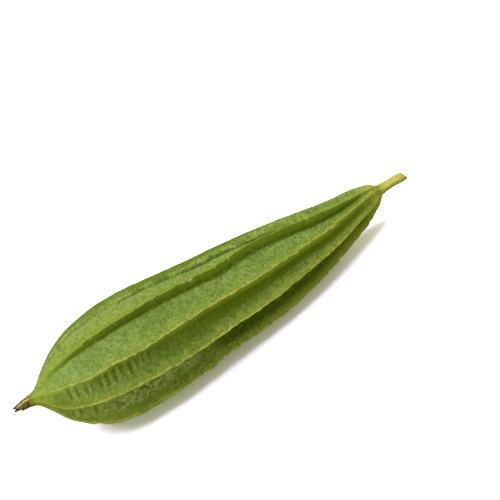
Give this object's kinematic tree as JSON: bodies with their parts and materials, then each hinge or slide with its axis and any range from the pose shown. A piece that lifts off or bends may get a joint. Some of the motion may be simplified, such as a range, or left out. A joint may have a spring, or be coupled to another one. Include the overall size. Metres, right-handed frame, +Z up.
{
  "type": "ridge gourd",
  "caption": "Whole ridge gourd lying on its side: a long tapering fruit with sharp lengthwise ridges, a short cut stem and a withered blossom end.",
  "frame": {"origin": "on the surface it lies on, under the middle of the whole gourd's bounding box", "axes": "+X along the fruit from the blossom end to the stem, +Z up"},
  "size_m": [0.2734, 0.0656, 0.064],
  "materials": {
    "fruit_skin": "waxy green rind",
    "stem": "pale green fresh stem",
    "dried_blossom": "dry straw and brown"
  },
  "bodies": {
    "root": {"fruit": "fruit_skin", "stem": "stem", "blossom_remnant": "dried_blossom"}
  },
  "joints": []
}
